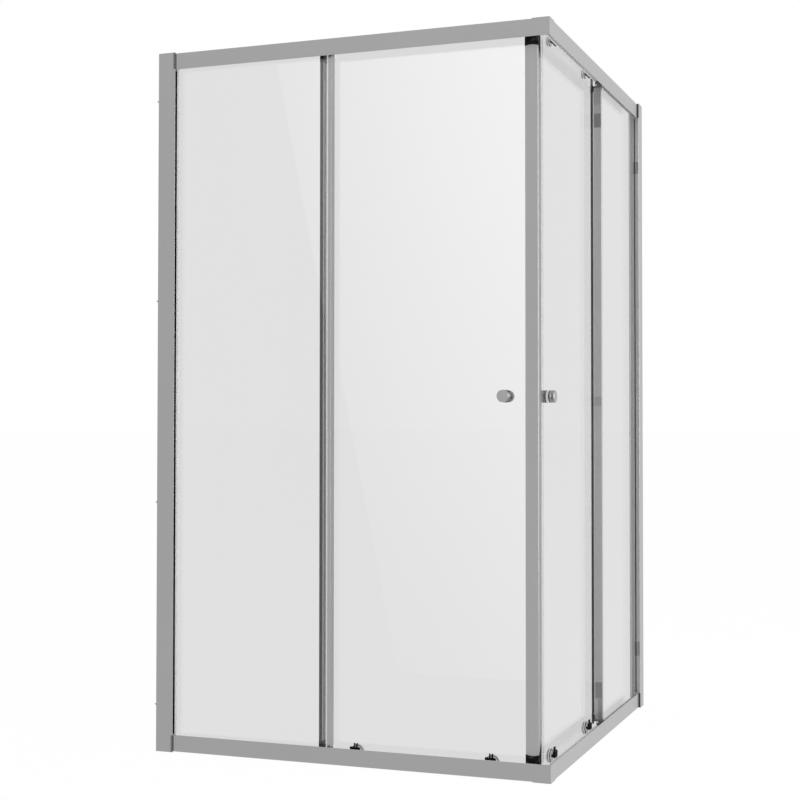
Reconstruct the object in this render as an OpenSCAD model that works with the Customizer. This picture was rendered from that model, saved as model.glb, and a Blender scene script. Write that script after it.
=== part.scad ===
// Corner shower enclosure: two fixed glass panels and two sliding glass doors
// that meet at the open corner, in an aluminium frame for two room walls.
// Each side is drawn once in rail coordinates: s runs along the rail from the
// corner to the wall, u runs inwards from the outer face, z runs up.

/* [Frame] */
// Overall height over the wall jambs and corner brackets
total_h = 1900; // [1600:10:2200]
// Width of the front, from the corner face to the room wall
front_w = 1106; // [1000:1:1300]
// Width of the side, from the corner face to the room wall
side_w = 1085; // [1000:1:1300]
// How far the rails stop short of the ends of the jambs
rail_inset = 1.5; // [1:0.5:4]

/* [Rails] */
// Height of the outer lip of a rail
rail_h = 44; // [44:1:52]
// Depth of a rail from its outer face inwards
rail_d = 46; // [46:1:60]
// Wall thickness of a rail
rail_wall = 1.8; // [1.4:0.1:2.4]
// Distance from the outer face to the middle of the fixed glass
fixed_u = 20; // [18:0.5:20]
// Distance from the outer face to the middle of the door glass
door_u = 40; // [40:0.5:44]
// Depth of the roller track below the back of the rail
track_drop = 23.9; // [23.9:0.1:25]

/* [Wall Jambs] */
// Width of the visible face of a jamb
jamb_face = 51; // [46:1:60]
// Depth of a jamb behind its glazing pocket
jamb_back = 2; // [2:0.5:3]
// How far a jamb stands proud of the outer face of the rails
jamb_proud = 5; // [3:0.5:8]
// How far the pocket of a jamb stands back behind the edge of its face
jamb_lip = 5.5; // [3:0.5:6]
// Wall thickness of the jambs and wall channels
jamb_wall = 1.6; // [1.2:0.1:2]
// Length of the wall channel legs
channel_leg = 27; // [24:1:27]
// Play between a wall channel and the jamb around it
channel_play = 0.4; // [0.2:0.1:0.8]

/* [Wall Screws] */
// Number of screws in each wall channel
wall_screw_count = 4; // [3:1:6]
// Height of the lowest wall screw
wall_screw_first = 123; // [80:1:200]
// Distance from the top of a jamb to the highest wall screw
wall_screw_last = 127; // [80:1:200]
// How far a wall screw reaches past the wall channel
wall_screw_reach = 15; // [8:1:40]
// Shank diameter of a wall screw
wall_screw_dia = 4.8; // [4:0.1:6]

/* [Glass] */
// Thickness of the safety glass
glass_t = 6; // [5:0.5:6]
// Depth of the glazing gasket over the edge of the fixed glass
gasket_cover = 15; // [10:0.5:16]
// Edge of the fixed glass to the back of its pocket
glass_bite_gap = 2.6; // [2:0.1:4]

/* [Fixed End Profile] */
// Distance from the corner face to the free end of the fixed panel
fixed_end_s = 597; // [560:1:620]
// Width of the fixed end profile
end_profile_w = 9.5; // [9:0.5:14]
// Outer face of the fixed end profile
end_profile_u = 11; // [10:0.5:11]
// Depth of the fixed end profile
end_profile_d = 22; // [22:0.5:22]
// Distance from the back of a rail to the end of the fixed end profile
end_profile_drop = 43; // [40:0.5:54]

/* [Doors] */
// Gap between the trailing edge of an open door and the wall jamb
open_gap = 9; // [6:0.5:20]
// Outer flank of the front door's closing stile
stile_s = 38.5; // [38:0.5:40]
// Width of the closing stile
stile_w = 34; // [30:1:44]
// Depth of the closing stile
stile_d = 22; // [22:0.5:24]
// Trailing edge of a door, from the corner face
door_tail_s = 638; // [630:1:650]
// Width of a trailing profile
tail_w = 10; // [10:0.5:14]
// Depth of a trailing profile
tail_d = 20; // [18:0.5:20]
// Edge of the door glass to the back of the rail
door_edge_drop = 5; // [5:0.5:6]
// Height of the plastic end caps on the closing stile
cap_h = 29.5; // [24:0.5:40]
// Height of the plastic end caps on the trailing profiles
tail_cap_h = 23; // [18:0.5:34]
// Distance from the back of the rail to the end of an end cap
cap_drop = 30; // [28:0.5:32]
// Wall of an end cap around its profile
cap_wall = 0.6; // [0.5:0.1:1.2]

/* [Knobs] */
// Height of the knobs above the base
knob_z = 956; // [850:1:1100]
// Distance from the corner face to the knobs
knob_s = 130; // [110:1:150]
// Diameter of a knob head
knob_dia = 32; // [24:1:40]
// How far a knob stands off the glass
knob_len = 15.5; // [15:0.5:24]

/* [Rollers] */
// Distance from the corner face to the near rollers
near_s = 165; // [155:1:200]
// Distance from the corner face to the far rollers
far_s = 535; // [480:1:545]
// Flange radius of a wheel
wheel_r = 9; // [9:0.1:9]
// Width of a wheel
wheel_w = 3.6; // [3.2:0.1:3.6]
// Depth of the running groove in a wheel
groove_depth = 1; // [0.8:0.1:1.2]
// Wheel axle radius
axle_r = 2; // [1.6:0.1:2.4]
// Radial clearance of a wheel on its axle
axle_play = 0.05; // [0.03:0.01:0.1]
// Distance from the back of the rail to the wheel axle
axle_drop = 14.5; // [14.5:0.1:14.6]
// Distance from the back of the top rail to the carrier bolt
top_bolt_drop = 17.5; // [17.5:0.1:18]
// Distance from the back of the bottom rail to the carrier bolt
bottom_bolt_drop = 29.5; // [29.5:0.1:31]
// Length of the plate of a top carrier
top_plate_len = 50; // [36:1:56]
// Radius of the inner cap of a top carrier
top_cap_r = 12.5; // [11:0.5:12.5]
// Radius of the inner cap of a bottom carrier
bottom_cap_r = 17.5; // [14:0.5:18]
// Travel of a release button
release_travel = 3; // [2:0.5:3]

/* [Hidden] */
$fn = 48;

// Colours as the finished product shows them
metal = [0.74, 0.75, 0.76];
dark_metal = [0.45, 0.46, 0.47];
black_plastic = [0.10, 0.10, 0.11];
rubber = [0.16, 0.16, 0.17];
clear_glass = [0.85, 0.90, 0.90, 0.35];
clear_seal = [0.80, 0.84, 0.84, 0.6];
steel = [0.62, 0.63, 0.64];

// Clearance between pieces that move past each other
slide_play = 0.3;
// Overshoot of a cutting shape
cut = 1;

// How far the corner brackets stand proud of the rail faces
bracket_t = 0.8;
bracket_leg = 36;
bracket_lug_h = 11;
bracket_lug_drop = 10;
bracket_lug_len = 50;
bracket_fin_t = 2;
bracket_screw_s = bracket_lug_len - 8;
bracket_screw_r = 1.6;
bracket_screw_head_r = 3;
bracket_screw_head_h = 1.4;
bracket_screw_len = 17;

// Pocket for the fixed glass and its gasket, the same in rails and jambs
gasket_t = 3;
pocket_lo = fixed_u - glass_t / 2 - gasket_t;
pocket_hi = fixed_u + glass_t / 2 + gasket_t;
rib_t = 1.4;
rib_h = 21;
gasket_proud = 0.6;

// Inner face of the jambs
jamb_d = pocket_hi + jamb_back;

// Roller track: a shelf with a rounded bead, in the plane of the wheels
track_u = pocket_hi + rib_t + slide_play + wheel_w / 2;
shelf_t = 1.6;
shelf_reach = track_u + 1.5;
bead_r = 0.8;
bead_top = axle_drop + wheel_r - groove_depth + slide_play;

// Play of a screw in its bore
bore_play = 0.05;

// Screw ports run along the rails and take the rail end screws
port_r = 2;
port_wall = 1.6;
port_high = [7.2, 5.2];
port_low = [5.2, 28];

// Position of the rails and of the ends of the glass
rail_lo = rail_inset;
rail_hi = total_h - rail_inset;
pocket_back = rail_wall + 0.2;

// Bite of a rail end screw in its port
end_screw_bite = 16;

// Door planes
glass_out = door_u - glass_t / 2;
glass_in = door_u + glass_t / 2;
stile_u = door_u - 10;
tail_u = door_u - 10;
stile_bite = 14;
tail_bite = 6;
profile_wall = 1.6;
end_seal_inset = 12;
magnet_inset = 30;
strip_gap = 0.4;
magnet_t = 2;
magnet_w = 10;
side_strip_s = stile_u + stile_d + magnet_t + strip_gap;
side_strip_w = 12;
side_strip_wall = 2;

// Arch cut into the ends of the caps
stile_arch_r = 48;
stile_arch_rise = 3;
tail_arch_r = 20;
tail_arch_rise = 0.8;

// Carriers
plate_u = track_u + wheel_w / 2 + 0.4;
pin_tip_u = track_u - wheel_w / 2;
bolt_r = 3;
bolt_hole_r = 4;
top_plate_lo = 6;
top_plate_hi = 21.5;
cap_disc_t = 6;
cap_dome_t = 6;
block_w = 24;
block_lo = 26.6;
block_hi = 42.6;
block_u = glass_out - 6.8;
stem_w = 5;
stem_u0 = glass_out - 3.4;
stem_u1 = glass_out - 0.6;
ear_w = 2.6;
ear_hi = 53;
button_hi = 51.5;
button_w = 4.4;

// Distance between wall screws
wall_screw_pitch = (total_h - wall_screw_first - wall_screw_last) / (wall_screw_count - 1);

// Screws that lock the jambs to the wall channels
jamb_screw_r = 1.7;
jamb_screw_inset = 20;
jamb_screw_heights = [total_h * 0.1, total_h * 0.5, total_h * 0.9];

// Place of the corner, so that the whole part is centred on its base
reach_x = front_w + wall_screw_reach;
reach_y = side_w + wall_screw_reach;
corner_x = (reach_x - jamb_proud) / 2;
corner_y = -(reach_y - jamb_proud) / 2;

module on_side() {
    translate([corner_x, corner_y, 0]) rotate([0, 0, 90]) children();
}

module on_front() {
    translate([corner_x, corner_y, 0]) mirror([1, 0, 0]) children();
}

// A block between two corner points
module block(lo, hi) {
    translate(lo) cube(hi - lo);
}

// A flat bar between two points, with its corners rounded to true arcs
module bar(lo, hi, r = 0.5) {
    size = hi - lo;
    union() {
        translate(lo + [r, 0]) square([size.x - 2 * r, size.y]);
        translate(lo + [0, r]) square([size.x, size.y - 2 * r]);
        for (x = [lo.x + r, hi.x - r], y = [lo.y + r, hi.y - r])
            translate([x, y]) circle(r, $fn = 24);
    }
}

// Carries an outline in (u, z) along the rail from s0 to s1
module along(s0, s1) {
    translate([s0, 0, 0]) rotate([90, 0, 90]) linear_extrude(s1 - s0) children();
}

// A round bar whose axis runs inwards, from u0 to u1
module pin(s, z, u0, u1, r, fn = 48) {
    translate([s, u0, z]) rotate([-90, 0, 0]) cylinder(h = u1 - u0, r = r, $fn = fn);
}

// A turned shape whose axis runs inwards; the outline is in (radius, u)
module turned(s, z, u0) {
    translate([s, u0, z]) rotate([-90, 0, 0]) rotate_extrude($fn = 64) children();
}

// Where a rail meets the body of the jamb in a side of this width
function rail_end(width) = width - jamb_face + jamb_lip;

// Travel of the door in a side of this width
function travel(width) = width - jamb_face - door_tail_s - open_gap;

// Heights measured from the back of the bottom rail or of the top rail
function up(d) = rail_lo + d;
function down(d) = rail_hi - d;

// Rails

// Extrusion of both rails: outer lip, glazing pocket, roller shelf, screw ports
module rail_section() {
    port_slot = 2.2;
    difference() {
        union() {
            bar([0, 0], [rail_wall, rail_h], 0.8);
            bar([0, 0], [rail_d, rail_wall], 0.8);
            bar([rail_d - rail_wall, 0], [rail_d, 4], 0.8);
            bar([pocket_lo - rib_t, 0], [pocket_lo, rib_h], 0.5);
            bar([pocket_hi, 0], [pocket_hi + rib_t, track_drop + shelf_t], 0.5);
            bar([pocket_hi, track_drop], [shelf_reach, track_drop + shelf_t], 0.5);
            translate([track_u - bead_r, bead_top + bead_r])
                square([2 * bead_r, track_drop + 0.5 - bead_top - bead_r]);
            translate([track_u, bead_top + bead_r]) circle(bead_r, $fn = 24);
            translate(port_high) circle(port_r + port_wall);
            translate(port_low) circle(port_r + port_wall);
        }
        translate(port_high) circle(port_r);
        translate(port_low) circle(port_r);
        translate(port_high + [-port_slot / 2, 0]) square([port_slot, port_r + port_wall + cut]);
        translate(port_low + [0, -port_slot / 2]) square([port_r + port_wall + cut, port_slot]);
    }
}

// Cuts the corner end of a rail to the mitre, with room for the bracket fin
module mitred() {
    room = (bracket_fin_t / 2 + 0.1) * sqrt(2);
    difference() {
        children();
        translate([0, 0, -cut]) linear_extrude(rail_h + 2 * cut)
            polygon([[-cut, -cut], [room - cut, -cut], [rail_d + room + cut, rail_d + cut], [-cut, rail_d + cut]]);
    }
}

// Countersunk screw through the back of a rail; grow gives the bore for it
module bracket_screw(grow = 0) {
    translate([bracket_screw_s, port_high.x, 0]) {
        translate([0, 0, -grow]) cylinder(h = bracket_screw_len + grow, r = bracket_screw_r + grow);
        translate([0, 0, -grow])
            cylinder(h = bracket_screw_head_h + grow, r1 = bracket_screw_head_r + grow, r2 = bracket_screw_r + grow);
    }
}

// A rail lying on its back at z = 0, cut to length
module rail_blank(width) {
    difference() {
        mitred() along(0, rail_end(width)) rail_section();
        bracket_screw(bore_play);
    }
}

module top_rail(width) {
    color(metal) translate([0, 0, rail_hi]) mirror([0, 0, 1]) rail_blank(width);
}

module bottom_rail(width) {
    color(metal) translate([0, 0, rail_lo]) rail_blank(width);
}

// Corner brackets

// Cap over the mitre, with a fin in the joint and two lugs inside the rails
module bracket_half() {
    lug_lo = rail_wall + 0.3;
    lug_hi = pocket_lo - rib_t - 0.3;
    block([0, -bracket_t, -rail_inset], [bracket_leg, 0, rail_h]);
    block([0, -bracket_t, -rail_inset], [bracket_leg, rail_d, 0]);
    block([lug_lo, lug_lo, bracket_lug_drop], [bracket_lug_len, lug_hi, bracket_lug_drop + bracket_lug_h]);
}

module bracket_fin() {
    half = bracket_fin_t / 2 * sqrt(2);
    reach = rail_d - half;
    linear_extrude(bracket_lug_drop + bracket_lug_h)
        polygon([[0, 0], [half, 0], [reach + half, reach], [reach, reach + half], [0, half]]);
}

module corner_bracket() {
    difference() {
        union() {
            bracket_half();
            mirror([1, -1, 0]) bracket_half();
            bracket_fin();
            block([-bracket_t, -bracket_t, -rail_inset], [0, 0, rail_h]);
        }
        for (flip = [0, 1])
            mirror([flip, -flip, 0])
                translate([bracket_screw_s, port_high.x, 0]) cylinder(h = rail_h, r = bracket_screw_r + bore_play);
    }
}

// The bracket is symmetric about the corner diagonal, so one placement serves
module top_corner_bracket() {
    color(metal) on_side() translate([0, 0, rail_hi]) mirror([0, 0, 1]) corner_bracket();
}

module bottom_corner_bracket() {
    color(metal) on_side() translate([0, 0, rail_lo]) corner_bracket();
}

// Wall jambs and channels

// U channel that is screwed to the room wall
module wall_channel(width) {
    lo = jamb_wall + channel_play - jamb_proud;
    hi = jamb_d - jamb_wall - channel_play;
    mid = jamb_d / 2;
    color(dark_metal) difference() {
        translate([0, 0, 2]) linear_extrude(total_h - 4) union() {
            translate([width - jamb_wall, lo]) square([jamb_wall, hi - lo]);
            bar([width - channel_leg, lo], [width, lo + jamb_wall], 0.4);
            bar([width - channel_leg, hi - jamb_wall], [width, hi], 0.4);
        }
        for (i = [0:wall_screw_count - 1])
            translate([width - jamb_wall - cut, mid, wall_screw_first + i * wall_screw_pitch])
                rotate([0, 90, 0]) cylinder(h = jamb_wall + 2 * cut, r = wall_screw_dia / 2 + slide_play);
        jamb_screw_bores(width);
    }
}

// Jamb that slides over the wall channel and holds the fixed glass
module jamb(width) {
    lip = width - jamb_face;
    flank = rail_end(width);
    back = flank + gasket_cover;
    color(metal) difference() {
        linear_extrude(total_h) union() {
            bar([lip, -jamb_proud], [width, jamb_wall - jamb_proud], 0.7);
            bar([flank, jamb_d - jamb_wall], [width, jamb_d], 0.7);
            bar([flank, -jamb_proud], [flank + jamb_wall, pocket_lo], 0.7);
            bar([flank, pocket_hi], [flank + jamb_wall, jamb_d], 0.7);
            translate([flank, pocket_lo - rib_t]) square([gasket_cover + jamb_wall, rib_t]);
            translate([flank, pocket_hi]) square([gasket_cover + jamb_wall, jamb_d - pocket_hi - 0.4]);
            translate([back, 0.4 - jamb_proud]) square([jamb_wall, jamb_d + jamb_proud - 0.8]);
        }
        rail_end_holes(width);
        jamb_screw_bores(width);
    }
}

// Bores for the jamb screws through the inner skins of a jamb and its channel
module jamb_screw_bores(width) {
    for (z = jamb_screw_heights)
        pin(width - jamb_screw_inset, z, jamb_d / 2, jamb_d + cut, jamb_screw_r + bore_play);
}

// Clearance holes for the rail end screws, and access holes behind them
module rail_end_holes(width) {
    for (z = [rail_lo, rail_hi], port = [port_high, port_low])
        translate([rail_end(width) - cut, port.x, z == rail_lo ? z + port.y : z - port.y])
            rotate([0, 90, 0]) {
                cylinder(h = jamb_wall + 2 * cut, r = port_r + 0.1);
                translate([0, 0, jamb_wall + 2 * cut]) cylinder(h = gasket_cover + 2 * cut, r = 3.8);
            }
}

// Pan head screw along +x: head from x = 0 to head_t, shank down to -length
module pan_screw(length, shank_r, head_r, head_t) {
    rotate([0, 90, 0]) {
        translate([0, 0, -length]) cylinder(h = length, r = shank_r);
        difference() {
            union() {
                cylinder(h = head_t * 0.6, r = head_r);
                translate([0, 0, head_t * 0.6]) cylinder(h = head_t * 0.4, r1 = head_r, r2 = head_r * 0.7);
            }
            for (a = [0, 90])
                rotate([0, 0, a]) translate([-head_r * 0.6, -0.4, head_t * 0.5]) cube([head_r * 1.2, 0.8, head_t]);
        }
    }
}

// Screws through the wall channel into the room wall: neck, body and point
module wall_screw_row(width) {
    neck = 1;
    point = 3;
    shank_r = wall_screw_dia / 2;
    for (i = [0:wall_screw_count - 1])
        translate([width - jamb_wall, jamb_d / 2, wall_screw_first + i * wall_screw_pitch])
            mirror([1, 0, 0]) {
                pan_screw(jamb_wall + neck, shank_r - 0.4, 4.5, 3);
                translate([-jamb_wall - wall_screw_reach, 0, 0]) rotate([0, 90, 0]) {
                    cylinder(h = point, r1 = 0.8, r2 = shank_r);
                    translate([0, 0, point]) cylinder(h = wall_screw_reach - point - neck, r = shank_r);
                }
            }
}

module wall_screws() {
    color(steel) {
        on_front() wall_screw_row(front_w);
        on_side() wall_screw_row(side_w);
    }
}

// Screws from inside the jamb into the ports of both rails
module rail_end_screws(width) {
    for (z = [rail_lo, rail_hi], port = [port_high, port_low])
        translate([rail_end(width) + jamb_wall, port.x, z == rail_lo ? z + port.y : z - port.y])
            pan_screw(jamb_wall + end_screw_bite, port_r, 3.4, 2.4);
}

// Screws through the backs of both rails into the lugs of a bracket
module bracket_screw_pair() {
    for (flip = [0, 1])
        mirror([flip, -flip, 0]) bracket_screw();
}

module frame_screws() {
    color(steel) {
        on_front() rail_end_screws(front_w);
        on_side() rail_end_screws(side_w);
        on_side() translate([0, 0, rail_lo]) bracket_screw_pair();
        on_side() translate([0, 0, rail_hi]) mirror([0, 0, 1]) bracket_screw_pair();
    }
}

// Screws that lock each jamb to its wall channel, from the room side
module jamb_screw_row(width) {
    for (z = jamb_screw_heights)
        translate([width - jamb_screw_inset, jamb_d, z]) rotate([0, 0, 90])
            pan_screw(2 * jamb_wall + channel_play + 3, jamb_screw_r, 3.4, 2.2);
}

module jamb_screws() {
    color(steel) {
        on_front() jamb_screw_row(front_w);
        on_side() jamb_screw_row(side_w);
    }
}

// Fixed panels

function fixed_lo() = up(pocket_back + glass_bite_gap);
function fixed_hi() = down(pocket_back + glass_bite_gap);
function fixed_far(width) = rail_end(width) + gasket_cover - glass_bite_gap;

module fixed_pane(width, grow_s = 0, grow_z = 0) {
    block([fixed_end_s + profile_wall + glass_bite_gap - grow_s, fixed_u - glass_t / 2, fixed_lo() - grow_z],
        [fixed_far(width) + grow_s, fixed_u + glass_t / 2, fixed_hi() + grow_z]);
}

module fixed_glass(width) {
    color(clear_glass) fixed_pane(width);
}

// Rubber frame that grips the fixed glass on all four edges
module glazing_gasket(width) {
    s0 = fixed_end_s + profile_wall;
    s1 = rail_end(width) + gasket_cover;
    color(rubber) difference() {
        block([s0, pocket_lo, up(pocket_back)], [s1, pocket_hi, down(pocket_back)]);
        block([fixed_end_s + end_profile_w + gasket_proud, pocket_lo - cut, up(rib_h + gasket_proud)],
            [rail_end(width) - gasket_proud, pocket_hi + cut, down(rib_h + gasket_proud)]);
        fixed_pane(width);
    }
}

// Profile on the free vertical edge of the fixed glass
module end_profile() {
    s0 = fixed_end_s;
    s1 = fixed_end_s + end_profile_w;
    u0 = end_profile_u;
    u1 = end_profile_u + end_profile_d;
    z0 = up(end_profile_drop);
    z1 = down(end_profile_drop);
    color(metal) translate([0, 0, z0]) linear_extrude(z1 - z0) union() {
        bar([s0, u0], [s0 + profile_wall, u1], 0.7);
        bar([s0, u0], [s1, u0 + profile_wall], 0.7);
        bar([s1 - profile_wall, u0], [s1, pocket_lo], 0.7);
        translate([s0 + 0.8, pocket_hi]) square([end_profile_w - 0.8, profile_wall]);
        bar([s0, u1 - profile_wall], [s0 + 3, u1], 0.7);
        bar([s0 + 5.6, pocket_hi], [s0 + 5.6 + profile_wall, u1], 0.7);
    }
}

// Rubber fin in the end profile that wipes the door glass
module end_seal() {
    s0 = fixed_end_s + profile_wall;
    root = pocket_hi + profile_wall;
    tip = glass_out - slide_play;
    neck = end_profile_u + end_profile_d;
    z0 = up(end_profile_drop + end_seal_inset);
    z1 = down(end_profile_drop + end_seal_inset);
    color(rubber) translate([0, 0, z0]) linear_extrude(z1 - z0)
        polygon([[s0, root], [s0 + 4, root], [s0 + 4, neck], [s0 + 3.4, tip - 1], [s0 + 2.6, tip],
            [s0 + 1.9, tip - 1], [s0 + 1.6, neck], [s0 + 1.6, neck - profile_wall], [s0, neck - profile_wall]]);
}

// Clip between an end profile and its rail, drawn for the bottom rail
module end_clip() {
    s0 = fixed_end_s;
    s1 = fixed_end_s + end_profile_w;
    top = end_profile_drop;
    lo = rib_h + 2;
    plug = 14;
    plate_t = profile_wall - 0.1;
    plate_u0 = end_profile_u + 0.4;
    plate_u1 = 29.5;
    shelf_hi = track_drop + shelf_t + 0.5;
    difference() {
        union() {
            block([s0, plate_u0, lo], [s1 - 0.4, pocket_lo, top]);
            block([s0 + profile_wall + 0.1, end_profile_u + profile_wall + 0.1, top],
                [s1 - profile_wall - 0.1, pocket_lo - 0.1, top + plug]);
            translate([s0, 0, 0]) rotate([90, 0, 90]) linear_extrude(plate_t)
                polygon([[plate_u0, lo], [pocket_hi - 0.4, lo], [pocket_hi - 0.4, shelf_hi],
                    [plate_u1, shelf_hi], [plate_u1, top], [plate_u0, top]]);
        }
        translate([s0 - cut, plate_u1 - 3.6, top - 8]) rotate([0, 90, 0])
            cylinder(h = plate_t + cut + 0.05, r = 2);
    }
}

module end_clips() {
    color(dark_metal) {
        translate([0, 0, rail_lo]) end_clip();
        translate([0, 0, rail_hi]) mirror([0, 0, 1]) end_clip();
    }
}

// Rubber stops on the roller shelf of a top rail
module stop_pair(width) {
    stop_len = 14;
    closed_s = near_s - wheel_r - slide_play - stop_len;
    open_s = far_s + travel(width) + wheel_r + slide_play;
    for (s = [closed_s, open_s])
        difference() {
            block([s, pocket_hi + rib_t, down(track_drop)], [s + stop_len, shelf_reach - 0.6, down(rail_wall)]);
            block([s - cut, track_u - bead_r - 0.1, down(track_drop) - cut],
                [s + stop_len + cut, track_u + bead_r + 0.1, down(bead_top - 0.1)]);
        }
}

module door_stops() {
    color(rubber) {
        on_front() stop_pair(front_w);
        on_side() stop_pair(side_w);
    }
}

// Doors

function door_lo() = up(door_edge_drop);
function door_hi() = down(door_edge_drop);

// Door pane with its knob hole and four carrier holes
module door_glass(s0) {
    color(clear_glass) difference() {
        block([s0, glass_out, door_lo()], [door_tail_s - tail_w + tail_bite, glass_in, door_hi()]);
        pin(knob_s, knob_z, glass_out - cut, glass_in + cut, 6);
        for (s = [near_s, far_s]) {
            pin(s, down(top_bolt_drop), glass_out - cut, glass_in + cut, bolt_hole_r);
            pin(s, up(bottom_bolt_drop), glass_out - cut, glass_in + cut, bolt_hole_r);
        }
    }
}

stile_end = stile_s + stile_w;
stile_back = stile_u + stile_d;
cap_lo = up(cap_drop);
cap_hi = down(cap_drop);
profile_lo = up(cap_drop + 2);
profile_hi = down(cap_drop + 2);

// Closing stile of the front door: a hollow extrusion that takes the glass edge
module closing_stile_section() {
    arm = stile_bite;
    chamber_end = stile_end - arm - profile_wall;
    difference() {
        bar([stile_s, stile_u], [stile_end, stile_back], 1.2);
        bar([stile_s + profile_wall, stile_u + profile_wall], [chamber_end, stile_back - profile_wall], 0.6);
        translate([stile_end - arm, glass_out]) square([arm + cut, glass_t]);
        bar([stile_end - arm, stile_u + profile_wall], [stile_end - profile_wall, glass_out - profile_wall], 0.6);
        bar([stile_end - arm, glass_in + profile_wall], [stile_end - profile_wall, stile_back - profile_wall], 0.6);
    }
}

module front_closing_stile() {
    color(metal) on_front() translate([0, 0, profile_lo]) linear_extrude(profile_hi - profile_lo)
        closing_stile_section();
}

// C profile on the trailing edge of a door
module tail_section() {
    s1 = door_tail_s;
    s0 = door_tail_s - tail_w;
    u1 = tail_u + tail_d;
    union() {
        bar([s0, tail_u], [s1, tail_u + profile_wall], 0.7);
        bar([s0, u1 - profile_wall], [s1, u1], 0.7);
        bar([s1 - profile_wall, tail_u], [s1, u1], 0.7);
        bar([s0, tail_u], [s0 + profile_wall, glass_out], 0.5);
        bar([s0, glass_in], [s0 + profile_wall, u1], 0.5);
        translate([s0 + 0.6, glass_out - profile_wall]) square([tail_w - 1.2, profile_wall]);
        translate([s0 + 0.6, glass_in]) square([tail_w - 1.2, profile_wall]);
    }
}

module tail_profile() {
    color(metal) translate([0, 0, profile_lo]) linear_extrude(profile_hi - profile_lo) tail_section();
}

// Rubber fin on the trailing profile that wipes the fixed glass
module tail_seal() {
    s0 = door_tail_s - tail_w + 0.8;
    s1 = door_tail_s - 0.8;
    tip = fixed_u + glass_t / 2 + slide_play;
    mid = (s0 + s1) / 2;
    z0 = up(cap_drop + tail_cap_h);
    z1 = down(cap_drop + tail_cap_h);
    color(rubber) translate([0, 0, z0]) linear_extrude(z1 - z0)
        polygon([[s0, tail_u], [s0, tail_u - 1.6], [mid - 1.4, tail_u - 2.2], [mid - 0.6, tip],
            [mid + 0.6, tip], [mid + 1.4, tail_u - 2.2], [s1, tail_u - 1.6], [s1, tail_u]]);
}

// End cap around the end of a door profile, drawn for the bottom end
module end_cap(s0, s1, u0, u1, pane_s0, pane_s1, tall, arch_r, arch_rise) {
    top = cap_drop + tall;
    mid = (s0 + s1) / 2;
    translate([0, 0, rail_lo]) difference() {
        translate([0, 0, cap_drop]) linear_extrude(tall)
            bar([s0 - cap_wall, u0 - cap_wall], [s1 + cap_wall, u1 + cap_wall], 1);
        block([s0, u0, cap_drop + 2], [s1, u1, top + cut]);
        block([pane_s0, glass_out, 0], [pane_s1, glass_in, top + cut]);
        translate([mid, u0 - 2 * cap_wall, top + arch_r - arch_rise]) rotate([-90, 0, 0])
            cylinder(h = u1 - u0 + 4 * cap_wall, r = arch_r, $fn = 96);
    }
}

module cap_pair(s0, s1, u0, u1, pane_s0, pane_s1, tall, arch_r, arch_rise) {
    end_cap(s0, s1, u0, u1, pane_s0, pane_s1, tall, arch_r, arch_rise);
    translate([0, 0, total_h]) mirror([0, 0, 1])
        end_cap(s0, s1, u0, u1, pane_s0, pane_s1, tall, arch_r, arch_rise);
}

module tail_caps() {
    cap_pair(door_tail_s - tail_w, door_tail_s, tail_u, tail_u + tail_d,
        door_tail_s - tail_w - 2 * cap_wall, door_tail_s - tail_w + tail_bite, tail_cap_h, tail_arch_r, tail_arch_rise);
}

module front_door_end_caps() {
    color(black_plastic) on_front() {
        cap_pair(stile_s, stile_end, stile_u, stile_back,
            stile_end - stile_bite, stile_end + 2 * cap_wall, cap_h, stile_arch_r, stile_arch_rise);
        tail_caps();
    }
}

module side_door_end_caps() {
    color(black_plastic) on_side() tail_caps();
}

// Magnet strip behind the closing stile, facing the strip on the side door
module front_magnet_strip() {
    color(clear_seal) on_front() translate([0, 0, profile_lo + magnet_inset])
        linear_extrude(profile_hi - profile_lo - 2 * magnet_inset)
        bar([stile_s - 1.5, stile_back], [stile_s - 1.5 + magnet_w, stile_back + magnet_t], 0.6);
}

// Clear strip that grips the closing edge of the side door glass
module side_magnet_strip() {
    s0 = side_strip_s;
    color(clear_seal) on_side() translate([0, 0, profile_lo + 2]) linear_extrude(profile_hi - profile_lo - 4)
        difference() {
            bar([s0, glass_out - side_strip_wall], [s0 + side_strip_w, glass_in + side_strip_wall], 1);
            translate([s0 + 3, glass_out]) square([side_strip_w, glass_t]);
        }
}

// Knobs: turned head, neck and foot; the outline is in (radius, distance from the glass)
module knob_outline() {
    head_r = knob_dia / 2;
    head_t = 9;
    foot_r = 13;
    foot_t = 3;
    neck_r = 8;
    head_lo = knob_len - head_t;
    round_r = 2;
    difference() {
        union() {
            square([foot_r - 0.8, foot_t]);
            square([foot_r, foot_t - 0.8]);
            translate([foot_r - 0.8, foot_t - 0.8]) circle(0.8, $fn = 24);
            square([neck_r, knob_len - round_r]);
            translate([0, head_lo]) square([head_r - round_r, head_t]);
            translate([0, head_lo + round_r]) square([head_r, head_t - 2 * round_r]);
            translate([head_r - round_r, head_lo + round_r]) circle(round_r);
            translate([head_r - round_r, knob_len - round_r]) circle(round_r);
        }
        translate([0, -cut]) square([3, knob_len - 4 + cut]);
        translate([-2 * head_r, -cut]) square([2 * head_r, knob_len + 2 * cut]);
    }
}

module outer_knob() {
    color(metal) translate([knob_s, glass_out - 0.5, knob_z]) rotate([90, 0, 0])
        rotate_extrude($fn = 64) knob_outline();
}

module inner_knob() {
    color(metal) turned(knob_s, knob_z, glass_in + 0.5) knob_outline();
}

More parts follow.
